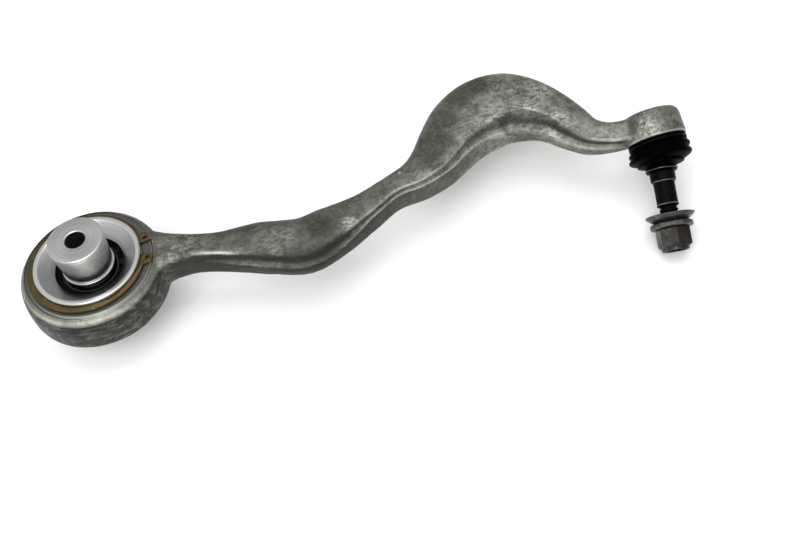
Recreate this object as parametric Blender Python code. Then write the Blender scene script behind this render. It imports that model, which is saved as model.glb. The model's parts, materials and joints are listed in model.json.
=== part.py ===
"""Front suspension control arm with a spherical-bearing bush and a ball joint.

The origin is the centre of the bush.  +Z runs along the bush's bolt axis, towards the
side with the outer circlip, +X runs along the arm towards the ball joint, and the arm's
goose-neck rises towards +Y.  Every length below is in millimetres.
"""

import math

import bmesh
import bpy
from mathutils import Matrix, Vector

MM = 0.001
GAP = 0.3  # clearance that neighbouring pieces keep
ROUND = 24  # sides of a turned piece
WIDE_ROUND = 44  # sides of the eye and the sleeve

# Bush: an outer sleeve pressed in the arm's eye, a spherical bearing and two spacers
SLEEVE_R = 33.0
SLEEVE_END_Z = 17.7
FLANGE_R = 35.75
FLANGE_TOP_Z = -14.2
BEARING_R = 21.0
BEARING_HALF = 8.0
RACE_SPHERE_R = 18.8
LINER_OUTER_R = 18.5
LINER_INNER_R = 17.8
BALL_R = 17.5
BALL_HALF = 10.0
SPACER_PLUG_R = 12.5
SPACER_END_R = 17.0
SPACER_FOOT_R = 15.4
SPACER_END_Z = 37.5
BOLT_HOLE_R = 6.1
# Retaining rings: inner, outer and thinnest radius, gap and lug half-angles, lug radius
OUTER_CLIP = (31.9, 37.3, 35.3, 8.0, 20.0, 40.2)
OUTER_CLIP_Z = (13.6, 15.1)
OUTER_CLIP_HOLE = (1.5, 37.2, 12.0)  # radius of the hole, and where it is: radius and angle
RACE_CLIP = (18.4, 22.2, 19.2, 9.0, 24.0, 17.9)
RACE_CLIP_Z = (8.6, 9.9)
RACE_CLIP_HOLE = (0.9, 19.6, 15.0)

# Arm: eye around the bush, S-shaped beam, housing of the ball joint
EYE_R = 45.0
EYE_TOP_Z = 13.3
EYE_BOTTOM_Z = -13.9
# Beam sections: x, y, width in the plane, thickness, roll in degrees, side groove depth
BEAM = (
    (24, 0, 50, 23, 0, 0),
    (38, 0.5, 39, 23, 0, 0),
    (49, 0, 27, 22.5, 0, 0),
    (62, -2, 21, 21.5, 0, 0),
    (77, -5.5, 21.5, 20.5, 0, 0),
    (93, -8.5, 28, 20, 0, 0),
    (111, -13, 33, 20, 0, 0),
    (130, -17.4, 36, 21, 0, 0),
    (149, -12.2, 32.6, 20.5, 0, 0),
    (170, -4.5, 23.5, 19.5, 0, 0),
    (190.3, 5.4, 19.2, 19.5, 0, 0.3),
    (206.8, 10.4, 24.8, 20.5, 0, 0.8),
    (220.4, 18.7, 32, 23, 0, 1.2),
    (231.2, 29.6, 37.5, 27, 0, 1.6),
    (245, 42.6, 44.6, 29.5, 0, 2.0),
    (262, 51.4, 50.8, 29.5, 0, 2.4),
    (278.6, 52.2, 50, 27.5, 0, 2.8),
    (293.7, 44.1, 42, 25, 0, 3.0),
    (305.4, 33.4, 32.2, 22.5, 2, 2.8),
    (314, 21.2, 27, 20.5, 6, 2.4),
    (322.2, 11.1, 21.4, 19, 12, 2.0),
    (332, 6.5, 17.5, 19, 18, 1.6),
    (342, 5.5, 17, 20, 24, 1.0),
    (353, 5.5, 18, 24, 29, 0),
)
BEAM_STEPS = 2  # rings between two sections
BEAM_SIDES = 20
BEAM_CORNER = 3.6  # exponent of the rounded-rectangle section

# Ball joint: centre of the ball, and the lean of the housing and of the stud
JOINT_CENTRE = (361.0, 0.0, 0.0)
HOUSING_LEAN = math.radians(-61.0)  # about X: turns the housing's closed end to +Y
STUD_LEAN = math.radians(6.0)  # about the housing's own Y
HOUSING_R = 18.9
HOUSING_TOP_Z = 14.5
SHOULDER_Z = -4.0
MOUTH_Z = -9.0
CAVITY_R = 13.0
JOINT_BALL_R = 11.0
NECK_R = 5.5
SHANK_R = 6.65
SHANK_END_Z = -46.6
THREAD_R = 5.85
STUD_END_Z = -75.0
# Parts along the stud: lower and upper end below the ball's centre
UPPER_RING_Z = (-7.0, -5.6)
LOWER_RING_Z = (-23.9, -22.8)
SLIP_RING_Z = (-31.0, -24.8)
NUT_WASHER_Z = (-60.8, -57.6)
NUT_Z = (-75.2, -61.2)
NUT_ACROSS_FLATS = 19.0
NUT_TURN = 30  # degrees, how the loose nut happens to stand on the thread
NUT_BORE_R = 6.2
WASHER_BORE_R = 6.4


def clear_scene():
    for thing in list(bpy.data.objects):
        bpy.data.objects.remove(thing, do_unlink=True)


def make_material(name, colour, roughness, metallic):
    material = bpy.data.materials.new(name)
    material.use_nodes = True
    shader = material.node_tree.nodes["Principled BSDF"]
    shader.inputs["Base Color"].default_value = (*colour, 1.0)
    shader.inputs["Roughness"].default_value = roughness
    shader.inputs["Metallic"].default_value = metallic
    return material


def add_object(name, mesh_data, material, parent=None):
    """Link a bmesh as a named object; its coordinates are millimetres in its parent's frame."""
    bmesh.ops.scale(mesh_data, vec=(MM, MM, MM), verts=mesh_data.verts)
    bmesh.ops.recalc_face_normals(mesh_data, faces=mesh_data.faces)
    mesh = bpy.data.meshes.new(name)
    mesh_data.to_mesh(mesh)
    mesh_data.free()
    mesh.materials.append(material)
    mesh.shade_smooth()
    mesh.set_sharp_from_angle(angle=math.radians(35))
    thing = bpy.data.objects.new(name, mesh)
    bpy.context.scene.collection.objects.link(thing)
    thing.parent = parent
    return thing


def add_guide(name, mesh_data, parent=None):
    """A hidden shape that Boolean modifiers add or cut away."""
    guide = add_object(name, mesh_data, bpy.data.materials["guide"], parent)
    guide.display_type = "WIRE"
    guide.hide_render = True
    return guide


def add_frame(name, matrix, parent=None):
    frame = bpy.data.objects.new(name, None)
    frame.empty_display_size = 0.01
    bpy.context.scene.collection.objects.link(frame)
    frame.parent = parent
    frame.matrix_local = matrix
    return frame


def boolean(thing, guide, operation):
    modifier = thing.modifiers.new(f"{operation.lower()} {guide.name}", "BOOLEAN")
    modifier.operation = operation
    modifier.solver = "EXACT"
    modifier.object = guide


def bridge_rings(mesh_data, rings, closed):
    """Skin rings of vertices; a ring of one vertex is a pole on the axis."""
    pairs = list(zip(rings, rings[1:]))
    if closed:
        pairs.append((rings[-1], rings[0]))
    for first, second in pairs:
        count = max(len(first), len(second))
        if count == 1:
            continue
        for i in range(count):
            j = (i + 1) % count
            corners = [first[i % len(first)], first[j % len(first)]]
            corners += [second[j % len(second)], second[i % len(second)]]
            mesh_data.faces.new(list(dict.fromkeys(corners)))


def turned(profile, sides=ROUND, place=None):
    """Body turned about Z from a closed outline of (radius, z) points.

    place(point, index) may move each vertex, for a body that bends between two frames.
    """
    mesh_data = bmesh.new()
    rings = []
    for index, (radius, z) in enumerate(profile):
        count = 1 if radius == 0 else sides
        ring = []
        for k in range(count):
            angle = 2 * math.pi * k / sides
            point = Vector((radius * math.cos(angle), radius * math.sin(angle), z))
            ring.append(mesh_data.verts.new(place(point, index) if place else point))
        rings.append(ring)
    bridge_rings(mesh_data, rings, closed=profile[0][0] > 0)
    return mesh_data


def sphere_arc(radius, z_from, z_to, steps):
    """Outline points along a sphere, between two heights."""
    a_from, a_to = math.asin(z_from / radius), math.asin(z_to / radius)
    angles = [a_from + (a_to - a_from) * k / steps for k in range(steps + 1)]
    return [(radius * math.cos(a), radius * math.sin(a)) for a in angles]


def mirrored(profile):
    """The same outline upside down."""
    return [(radius, -z) for radius, z in reversed(profile)]


def extruded(outline, z_low, z_high):
    """Flat plate between two heights from an outline of (x, y) points."""
    mesh_data = bmesh.new()
    lower = [mesh_data.verts.new((x, y, z_low)) for x, y in outline]
    upper = [mesh_data.verts.new((x, y, z_high)) for x, y in outline]
    bridge_rings(mesh_data, [lower, upper], closed=False)
    mesh_data.faces.new(lower)
    mesh_data.faces.new(upper)
    return mesh_data


# --- arm forging -----------------------------------------------------------------------


def smooth_sections():
    """Beam sections with Catmull-Rom rings added between them."""
    rows = [BEAM[0], *BEAM, BEAM[-1]]
    sections = []
    for k in range(1, len(rows) - 2):
        before, start, end, after = rows[k - 1 : k + 3]
        for step in range(BEAM_STEPS):
            t = step / BEAM_STEPS
            section = []
            for a, b, c, d in zip(before, start, end, after):
                slope, bend, twist = c - a, 2 * a - 5 * b + 4 * c - d, 3 * b - a - 3 * c + d
                section.append(0.5 * (2 * b + slope * t + bend * t**2 + twist * t**3))
            sections.append(section)
    sections.append(list(BEAM[-1]))
    return sections


def beam_section(width, thickness, groove):
    """Rounded rectangle with a shallow groove along both of its narrow sides."""
    points = []
    for k in range(BEAM_SIDES):
        angle = 2 * math.pi * (k + 0.5) / BEAM_SIDES
        c, s = math.cos(angle), math.sin(angle)
        across = math.copysign(abs(c) ** (2 / BEAM_CORNER), c) * width / 2
        up = math.copysign(abs(s) ** (2 / BEAM_CORNER), s) * thickness / 2
        depth = groove * math.exp(-((up / (0.26 * thickness)) ** 2)) * abs(across) * 2 / width
        points.append((across - math.copysign(depth, across), up))
    return points


def beam():
    mesh_data = bmesh.new()
    sections = smooth_sections()
    rings = []
    for k, (x, y, width, thickness, roll, groove) in enumerate(sections):
        before, after = sections[max(k - 1, 0)], sections[min(k + 1, len(sections) - 1)]
        along = Vector((after[0] - before[0], after[1] - before[1], 0)).normalized()
        turn = Matrix.Rotation(math.radians(roll), 3, along)
        across = turn @ Vector((-along.y, along.x, 0))
        up = turn @ Vector((0, 0, 1))
        centre = Vector((x, y, 0))
        outline = beam_section(width, thickness, groove)
        rings.append([mesh_data.verts.new(centre + a * across + b * up) for a, b in outline])
    bridge_rings(mesh_data, rings, closed=False)
    mesh_data.faces.new(rings[0])
    mesh_data.faces.new(rings[-1])
    return mesh_data


def eye_blank():
    return turned(
        [
            (0, EYE_BOTTOM_Z),
            (40.5, EYE_BOTTOM_Z),
            (43.5, -13.1),
            (EYE_R - 0.2, -11.2),
            (EYE_R, -8),
            (EYE_R, 2),
            (44.0, 7.0),
            (42.4, 10.0),
            (40.6, 11.2),
            (39.9, 11.4),
            (38.2, EYE_TOP_Z),
            (0, EYE_TOP_Z),
        ],
        sides=WIDE_ROUND,
    )


def housing_blank():
    return turned(
        [
            (0, HOUSING_TOP_Z),
            (12.5, HOUSING_TOP_Z - 0.1),
            (15.8, 13.7),
            (17.4, 12.0),
            (18.2, 9.0),
            (HOUSING_R, SHOULDER_Z),
            (15.4, SHOULDER_Z),
            (15.4, -8.0),
            (15.0, MOUTH_Z),
            (0, MOUTH_Z),
        ]
    )


def joint_cavity():
    """Blind socket, open towards the stud, with a step for the seat's lock ring."""
    return turned(
        [
            (0, 12.0),
            (6.0, 11.7),
            (10.6, 10.0),
            (CAVITY_R, 7.0),
            (CAVITY_R, -7.7),
            (11.8, -7.7),
            (12.2, MOUTH_Z - 1),
            (0, MOUTH_Z - 1),
        ]
    )


def make_arm(metal, housing):
    arm = add_object("arm_forging", beam(), metal)
    boolean(arm, add_guide("eye_guide", eye_blank()), "UNION")
    boolean(arm, add_guide("housing_guide", housing_blank(), housing), "UNION")
    boolean(arm, add_guide("cavity_guide", joint_cavity(), housing), "DIFFERENCE")
    reach = SLEEVE_END_Z + 10
    bore_r = SLEEVE_R + GAP
    bore = turned([(0, -reach), (bore_r, -reach), (bore_r, reach), (0, reach)], sides=WIDE_ROUND)
    boolean(arm, add_guide("eye_bore_guide", bore), "DIFFERENCE")


# --- bush ------------------------------------------------------------------------------


def sleeve():
    groove_r = 31.6
    clip_low, clip_high = OUTER_CLIP_Z
    race_low, race_high = RACE_CLIP_Z
    bearing_bore = BEARING_R + GAP
    seat_z = BEARING_HALF + GAP
    return turned(
        [
            (34.6, -SLEEVE_END_Z),
            (FLANGE_R, -16.8),
            (FLANGE_R, -15.0),
            (35.1, FLANGE_TOP_Z),
            (SLEEVE_R, FLANGE_TOP_Z),
            (SLEEVE_R, clip_low - GAP),
            (groove_r, clip_low - GAP),
            (groove_r, clip_high + GAP),
            (SLEEVE_R, clip_high + GAP),
            (SLEEVE_R, 17.1),
            (32.4, SLEEVE_END_Z),
            (30.4, SLEEVE_END_Z),
            (bearing_bore + 0.3, 11.5),
            (bearing_bore, 11.2),
            (bearing_bore, race_high + GAP),
            (22.6, race_high + GAP),
            (22.6, race_low - GAP),
            (bearing_bore, race_low - GAP),
            (bearing_bore, -seat_z),
            (18.8, -seat_z),
            (18.8, -10.4),
            (20.8, -11.4),
            (30.4, -SLEEVE_END_Z),
        ],
        sides=WIDE_ROUND,
    )


def circlip_outline(inner_r, outer_r, thin_r, gap, lug, lug_r, steps=36):
    """Open retaining ring with its gap at +X, widest opposite the gap, with two lugs.

    lug_r beyond outer_r makes an outside ring, and lug_r inside inner_r an inside ring.
    """
    outside = lug_r > outer_r
    gap_angle, lug_angle = math.radians(gap), math.radians(lug)
    plain_r = inner_r if outside else outer_r
    angles = [gap_angle + (2 * math.pi - 2 * gap_angle) * k / steps for k in range(steps + 1)]
    plain = [(plain_r * math.cos(a), plain_r * math.sin(a)) for a in angles]
    shaped = []
    wide_r = outer_r if outside else inner_r
    for k in range(steps + 1):
        a = lug_angle + (2 * math.pi - 2 * lug_angle) * k / steps
        r = thin_r + (wide_r - thin_r) * (1 - math.cos(a)) / 2
        shaped.append((r * math.cos(a), r * math.sin(a)))
    lug_angles = [gap_angle + (lug_angle * 0.8 - gap_angle) * k / 4 for k in range(5)]
    first_lug = [(lug_r * math.cos(a), lug_r * math.sin(a)) for a in lug_angles]
    last_lug = [(x, -y) for x, y in reversed(first_lug)]
    return plain + list(reversed(first_lug + shaped + last_lug))


def make_circlip(name, shape, heights, hole, metal, sides):
    """Retaining ring with a round hole through each of its two lugs."""
    low, high = heights
    hole_r, centre_r, hole_angle = hole
    ring = add_object(name, extruded(circlip_outline(*shape), low, high), metal)
    circle = [2 * math.pi * k / sides for k in range(sides)]
    for side in (-1, 1):
        a = side * math.radians(hole_angle)
        x, y = centre_r * math.cos(a), centre_r * math.sin(a)
        outline = [(x + hole_r * math.cos(b), y + hole_r * math.sin(b)) for b in circle]
        guide = add_guide(f"{name}_hole_guide{side:+d}", extruded(outline, low - 1, high + 1))
        boolean(ring, guide, "DIFFERENCE")


def race():
    upper_edge = [(BEARING_R, BEARING_HALF - 0.5), (BEARING_R - 0.5, BEARING_HALF)]
    inner = sphere_arc(RACE_SPHERE_R, BEARING_HALF, -BEARING_HALF, 6)
    return turned(mirrored(upper_edge) + upper_edge + inner)


def liner():
    half = BEARING_HALF - 0.5
    inner = sphere_arc(LINER_INNER_R, half, -half, 6)
    return turned(sphere_arc(LINER_OUTER_R, -half, half, 6) + inner)


def bearing_ball():
    bore_r = SPACER_PLUG_R + GAP
    top = [(bore_r + 0.5, BALL_HALF), (bore_r, BALL_HALF - 0.5)]
    return turned(sphere_arc(BALL_R, -BALL_HALF, BALL_HALF, 8) + top + mirrored(top))


def spacer_outline():
    """Stepped spacer: plug in the ball's bore, conical foot, collar, flaring barrel."""
    shoulder_z = BALL_HALF + GAP
    return [
        (BOLT_HOLE_R, 0.2),
        (SPACER_PLUG_R - 0.4, 0.2),
        (SPACER_PLUG_R, 0.6),
        (SPACER_PLUG_R, shoulder_z),
        (14.3, shoulder_z),
        (16.2, 12.9),
        (16.2, 13.8),
        (14.9, 14.0),
        (14.9, 14.5),
        (SPACER_FOOT_R, 14.8),
        (SPACER_END_R, SPACER_END_Z - 0.6),
        (SPACER_END_R - 0.6, SPACER_END_Z),
        (BOLT_HOLE_R + 0.5, SPACER_END_Z),
        (BOLT_HOLE_R, SPACER_END_Z - 0.5),
    ]


def make_bush(steel, zinc, phosphate, liner_cloth, chrome):
    add_object("bush_sleeve", sleeve(), steel)
    make_circlip("outer_circlip", OUTER_CLIP, OUTER_CLIP_Z, OUTER_CLIP_HOLE, zinc, 16)
    make_circlip("race_circlip", RACE_CLIP, RACE_CLIP_Z, RACE_CLIP_HOLE, phosphate, 12)
    add_object("bearing_race", race(), chrome)
    add_object("bearing_liner", liner(), liner_cloth)
    add_object("bearing_ball", bearing_ball(), chrome)
    add_object("upper_spacer", turned(spacer_outline()), steel)
    add_object("lower_spacer", turned(mirrored(spacer_outline())), steel)


# --- ball joint ------------------------------------------------------------------------


def ball_seat():
    low, high = -5.4, 8.4
    inner_r = JOINT_BALL_R + GAP
    outer_r = CAVITY_R - GAP
    shell = [(outer_r, low), (outer_r, 6.7), (10.3, 9.4), (8.2, 9.6)]
    return turned(shell + sphere_arc(inner_r, high, low, 7))


def lock_ring():
    outer_r = CAVITY_R - GAP
    return turned([(10.6, -7.3), (outer_r, -7.3), (outer_r, -5.8), (10.6, -5.8)])


def ball_stud():
    neck_z = -math.sqrt(JOINT_BALL_R**2 - NECK_R**2)
    shank = [
        (NECK_R, -13.0),
        (5.9, -17.0),
        (SHANK_R, -19.5),
        (SHANK_R, SHANK_END_Z + 1.2),
        (7.0, SHANK_END_Z + 0.5),
        (6.7, SHANK_END_Z),
        (5.2, SHANK_END_Z - 0.8),
        (5.2, SHANK_END_Z - 1.8),
        (THREAD_R, SHANK_END_Z - 2.4),
        (THREAD_R, STUD_END_Z + 1),
        (THREAD_R - 1, STUD_END_Z),
        (0, STUD_END_Z),
    ]
    ball = sphere_arc(JOINT_BALL_R, 9.8, neck_z, 9)
    return turned([(0, 9.8), *ball, *shank], sides=24)


# Boot outline: radius, z and how far the point follows the stud instead of the housing
BOOT_OUTSIDE = (
    (18.3, -4.4, 0.0),
    (18.3, -5.0, 0.0),
    (17.3, -5.4, 0.0),
    (17.3, -7.2, 0.0),
    (18.5, -7.6, 0.0),
    (17.9, -8.7, 0.05),
    (19.2, -9.8, 0.1),
    (19.5, -11.2, 0.2),
    (18.5, -12.9, 0.3),
    (19.8, -14.4, 0.4),
    (19.6, -16.2, 0.5),
    (16.6, -17.9, 0.65),
    (14.9, -18.8, 0.75),
    (14.6, -19.9, 0.8),
    (11.6, -20.8, 0.9),
    (10.2, -21.6, 1.0),
    (9.2, -22.4, 1.0),
    (9.2, -24.0, 1.0),
    (9.7, -24.5, 1.0),
)
BOOT_INSIDE = (
    (6.95, -24.5, 1.0),
    (6.95, -22.4, 1.0),
    (9.4, -20.2, 1.0),
    (12.9, -19.0, 0.8),
    (13.4, -17.8, 0.75),
    (17.4, -15.8, 0.5),
    (18.2, -14.6, 0.4),
    (17.0, -12.9, 0.3),
    (17.9, -11.2, 0.2),
    (17.6, -10.2, 0.1),
    (15.8, -9.0, 0.0),
    (15.8, -4.4, 0.0),
)


def dust_boot():
    """Bellows whose top lip sits on the housing and whose lower lip sits on the leaning stud."""
    rows = BOOT_OUTSIDE + BOOT_INSIDE
    lean = Matrix.Rotation(STUD_LEAN, 3, "Y")

    def place(point, index):
        return point.lerp(lean @ point, rows[index][2])

    return turned([(radius, z) for radius, z, _ in rows], sides=24, place=place)


def flat_ring(inner_r, outer_r, heights, edge=0.3):
    """Washer with its outer edges broken."""
    z_low, z_high = heights
    return turned(
        [
            (inner_r, z_low),
            (outer_r - edge, z_low),
            (outer_r, z_low + edge),
            (outer_r, z_high - edge),
            (outer_r - edge, z_high),
            (inner_r, z_high),
        ]
    )


def cone_washer():
    top_z, end_z = -52.4, -57.2
    rim = [(15.1, top_z), (15.5, top_z - 0.4), (15.3, top_z - 0.9)]
    return turned([(WASHER_BORE_R, top_z), *rim, (10.4, end_z), (WASHER_BORE_R, end_z)])


def hexagon_prism():
    radius = NUT_ACROSS_FLATS / math.sqrt(3)
    angles = [math.radians(60 * k + NUT_TURN) for k in range(6)]
    outline = [(radius * math.cos(angle), radius * math.sin(angle)) for angle in angles]
    return extruded(outline, *NUT_Z)


def nut_envelope():
    """Turned shape that chamfers the hexagon and leaves a round collar at its end."""
    profile = [(0, -76.0), (7.6, -76.0), (8.5, -75.0), (8.6, -73.4), (9.4, -73.0)]
    return turned(profile + [(11.4, -71.6), (12.0, -58.0), (0, -58.0)])


def make_ball_joint(phosphate, rubber, nylon, steel, nut_metal, housing):
    stud = add_frame("stud_frame", Matrix.Rotation(STUD_LEAN, 4, "Y"), housing)
    add_object("ball_seat", ball_seat(), nylon, housing)
    add_object("seat_lock_ring", lock_ring(), steel, housing)
    add_object("dust_boot", dust_boot(), rubber, housing)
    add_object("boot_upper_ring", flat_ring(17.6, 18.5, UPPER_RING_Z), phosphate, housing)
    add_object("boot_lower_ring", flat_ring(9.5, 10.2, LOWER_RING_Z), steel, stud)
    add_object("boot_slip_ring", flat_ring(6.95, 7.9, SLIP_RING_Z), phosphate, stud)
    add_object("ball_stud", ball_stud(), phosphate, stud)
    add_object("cone_washer", cone_washer(), nut_metal, stud)
    washer = flat_ring(WASHER_BORE_R, 13.4, NUT_WASHER_Z, edge=0.5)
    add_object("nut_washer", washer, nut_metal, stud)
    nut = add_object("flange_nut", hexagon_prism(), nut_metal, stud)
    boolean(nut, add_guide("nut_envelope_guide", nut_envelope(), stud), "INTERSECT")
    bore = turned([(0, -80), (NUT_BORE_R, -80), (NUT_BORE_R, -50), (0, -50)], sides=32)
    boolean(nut, add_guide("nut_bore_guide", bore, stud), "DIFFERENCE")


def main():
    clear_scene()
    make_material("guide", (0.5, 0.5, 0.5), 0.5, 0.0)
    forged = make_material("forged_aluminium", (0.42, 0.42, 0.39), 0.5, 0.9)
    steel = make_material("bright_steel", (0.75, 0.76, 0.76), 0.28, 1.0)
    zinc = make_material("yellow_zinc", (0.42, 0.34, 0.14), 0.4, 0.9)
    phosphate = make_material("black_phosphate", (0.03, 0.03, 0.03), 0.45, 0.7)
    chrome = make_material("bearing_steel", (0.8, 0.8, 0.8), 0.15, 1.0)
    liner_cloth = make_material("liner_fabric", (0.25, 0.2, 0.12), 0.8, 0.0)
    rubber = make_material("boot_rubber", (0.012, 0.012, 0.012), 0.4, 0.0)
    nylon = make_material("seat_plastic", (0.75, 0.73, 0.66), 0.5, 0.0)
    nut_metal = make_material("dark_steel", (0.12, 0.11, 0.1), 0.5, 0.9)
    lean = Matrix.Rotation(HOUSING_LEAN, 4, "X")
    place = Matrix.Translation(Vector(JOINT_CENTRE) * MM) @ lean
    housing = add_frame("housing_frame", place)
    make_arm(forged, housing)
    make_bush(steel, zinc, phosphate, liner_cloth, chrome)
    make_ball_joint(phosphate, rubber, nylon, steel, nut_metal, housing)
    bpy.context.view_layer.update()


main()
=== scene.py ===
"""Looks of the control arm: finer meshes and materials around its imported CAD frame.

Lengths in the constants are millimetres, and meshes are scaled to metres when they are made.
"""

import json
import math

import bmesh
import bpy
import numpy as np
from mathutils import Matrix, Vector, noise


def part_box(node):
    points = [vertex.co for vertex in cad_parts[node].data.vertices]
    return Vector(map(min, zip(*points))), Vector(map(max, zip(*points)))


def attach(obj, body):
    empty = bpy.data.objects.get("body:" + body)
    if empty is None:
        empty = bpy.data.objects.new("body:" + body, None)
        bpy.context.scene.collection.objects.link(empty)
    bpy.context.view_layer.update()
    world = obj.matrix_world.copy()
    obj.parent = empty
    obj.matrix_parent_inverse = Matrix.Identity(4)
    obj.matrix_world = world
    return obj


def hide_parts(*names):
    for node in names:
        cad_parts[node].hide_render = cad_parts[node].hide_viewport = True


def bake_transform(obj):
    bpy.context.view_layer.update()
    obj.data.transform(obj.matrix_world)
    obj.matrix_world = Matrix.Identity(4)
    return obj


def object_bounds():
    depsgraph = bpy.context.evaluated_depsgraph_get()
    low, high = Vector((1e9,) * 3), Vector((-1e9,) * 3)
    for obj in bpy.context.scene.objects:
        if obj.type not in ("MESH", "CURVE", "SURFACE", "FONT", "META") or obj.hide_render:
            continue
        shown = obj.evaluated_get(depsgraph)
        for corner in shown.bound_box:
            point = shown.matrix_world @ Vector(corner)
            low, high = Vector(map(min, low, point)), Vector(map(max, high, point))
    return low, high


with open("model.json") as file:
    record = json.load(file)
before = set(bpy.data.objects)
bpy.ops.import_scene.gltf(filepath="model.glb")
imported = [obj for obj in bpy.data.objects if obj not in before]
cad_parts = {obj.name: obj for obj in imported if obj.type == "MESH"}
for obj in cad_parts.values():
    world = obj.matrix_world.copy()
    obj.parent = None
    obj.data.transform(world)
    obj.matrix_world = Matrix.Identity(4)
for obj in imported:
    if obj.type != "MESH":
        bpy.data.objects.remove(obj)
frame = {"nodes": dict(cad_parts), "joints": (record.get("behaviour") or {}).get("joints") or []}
CAD_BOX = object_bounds()
MM = 0.001

# Camera: where it stands (metres), where it looks and how far it leans
CAMERA_PLACE = (0.1516, -0.4373, 0.5318)
CAMERA_AZIMUTH = 4.55
CAMERA_ELEVATION = 53.9
CAMERA_ROLL = 10.7
CAMERA_LENS = 49.5
# Studio sky: the direction it is brightest in, and its darkest and brightest shade
SKY_LEAN = (-0.24, -0.42, 0.87)
SKY_SHADES = (0.38, 1.1)

# Beam sections as in the CAD: x, y, width in the plane, thickness, roll in degrees
BEAM = (
    (24, 0, 50, 23, 0),
    (38, 0.5, 39, 23, 0),
    (49, 0, 27, 22.5, 0),
    (62, -2, 21, 21.5, 0),
    (77, -5.5, 21.5, 20.5, 0),
    (93, -8.5, 28, 20, 0),
    (111, -13, 33, 20, 0),
    (130, -17.4, 36, 21, 0),
    (149, -12.2, 32.6, 20.5, 0),
    (170, -4.5, 23.5, 19.5, 0),
    (190.3, 5.4, 19.2, 19.5, 0),
    (206.8, 10.4, 24.8, 20.5, 0),
    (220.4, 18.7, 32, 23, 0),
    (231.2, 29.6, 37.5, 27, 0),
    (245, 42.6, 44.6, 29.5, 0),
    (262, 51.4, 50.8, 29.5, 0),
    (278.6, 52.2, 50, 27.5, 0),
    (293.7, 44.1, 42, 25, 0),
    (305.4, 33.4, 32.2, 22.5, 2),
    (314, 21.2, 27, 20.5, 6),
    (322.2, 11.1, 21.4, 19, 12),
    (332, 6.5, 17.5, 19, 18),
    (342, 5.5, 17, 20, 24),
    (353, 5.5, 18, 24, 29),
)
BEAM_STEPS = 8
BEAM_SIDES = 96
BEAM_CORNER = 3.6
BEAM_EVEN = 7  # steps to each side over which the section direction is evened out
# Relief of the beam's -Y side: x, height of the groove under the upper edge (share of half the
# thickness), half its width, its depth (which also sets its painted shade), how far the rib below
# it stands out, and how bright the painted highlight on the edge above it is
SIDE_RELIEF = (
    (60, 0.60, 0.20, 0.0, 0.0, 0.1),
    (80, 0.62, 0.24, 1.6, 0.2, 0.9),
    (105, 0.62, 0.32, 3.0, 0.3, 0.9),
    (140, 0.56, 0.36, 3.0, 0.2, 0.7),
    (154, 0.66, 0.22, 1.9, 0.1, 0.7),
    (168, 0.80, 0.09, 1.0, 0.0, 0.25),
    (215, 0.82, 0.08, 0.9, 0.0, 0.15),
    (236, 0.76, 0.12, 1.6, 0.4, 0.1),
    (252, 0.67, 0.17, 2.2, 0.8, 0.1),
    (272, 0.65, 0.26, 3.5, 1.1, 0.2),
    (305, 0.69, 0.29, 3.8, 1.1, 0.5),
    (325, 0.72, 0.20, 2.6, 0.8, 0.7),
    (342, 0.66, 0.18, 1.6, 0.5, 0.5),
    (350, 0.60, 0.20, 1.0, 0.4, 0.0),
)
GROOVE_DARKEST = 3.2  # depth from which the groove's painted shade is as dark as it gets
EDGE_INSET, EDGE_WIDTH = 3.2, 1.1  # painted highlight along the upper edge of the -Y side: where and how wide
LOWER_LINE = (-0.46, 0.08, 0.9)  # thin crease under the rib: height, half width, share of the rib
CREST = (103, 9, 1.2)  # low hump on the +Y edge: x, length, height
SKIN_VOXEL = 0.65
EYE_R, EYE_BORE_R = 45.0, 33.3
EYE_TOP, EYE_BOTTOM = 13.3, -13.9  # machined faces of the eye
EYE_MACHINED_R = 40.1  # reach of its machined upper face, with the chamfer
EYE_LIP_Z = 10.4  # height of the painted highlight on the rounding around the eye
EYE_LIP_ANGLE = math.radians(-115)  # where the painted highlight on the rounding is brightest
NUT_ACROSS = 19.0  # across the flats
NUT_TURN, RUSTY_FACET = 30, -60  # degrees: corners of the nut, and its rusted facet
BRIGHT_EDGES = (-31.0, -45.6)  # heights on the stud where a painted highlight runs round an edge
FINE = 192  # sides of a fine turned piece
CORNER_STEPS = 4  # points on a rounded corner, and between two points of a smoothed outline
ON_PLANE = 4e-6  # metres: how near a CAD vertex must be to the plane of its half-section
CLEAR = 30  # height where the bodies that cut the eye end
FLOOR_REACH, FLOOR_GAP = 4.0, 0.0005  # metres: half the floor, and its gap under the part

JOINTS = {joint["name"]: joint for joint in frame["joints"]}


def joint_frame(turn_joint, swing_joint):
    """Frame at a ball centre: Z along the turning axis, Y along the swing axis."""
    up = Vector(JOINTS[turn_joint]["axis"]).normalized()
    across = Vector(JOINTS[swing_joint]["axis"]).normalized()
    side = across.cross(up)
    turn = Matrix((side, across, up)).transposed().to_4x4()
    return Matrix.Translation(JOINTS[turn_joint]["pos_m"]) @ turn


BUSH = Matrix.Identity(4)
HOUSING = joint_frame("stud_direction", "stud_swing")
STUD = joint_frame("stud_turn", "stud_swing")


# --- mesh helpers ----------------------------------------------------------------------


def outline_of(node, place):
    """Half-section of a turned CAD node in its frame: a chain of (radius, height) in mm."""
    back = place.inverted()
    mesh = frame["nodes"][node].data
    spots = []
    for vertex in mesh.vertices:
        local = back @ vertex.co
        flat = abs(local.y) < ON_PLANE and local.x > -ON_PLANE
        spots.append((round(local.x / MM, 2), round(local.z / MM, 2)) if flat else None)
    links = {}
    for edge in mesh.edges:
        a, b = (spots[i] for i in edge.vertices)
        if a and b and a != b:
            links.setdefault(a, set()).add(b)
            links.setdefault(b, set()).add(a)
    ends = [spot for spot, others in links.items() if len(others) == 1]
    chain = [ends[0] if ends else max(links)]
    while True:
        onward = [spot for spot in links[chain[-1]] if spot not in chain]
        if not onward:
            return chain
        chain.append(onward[0])


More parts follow.
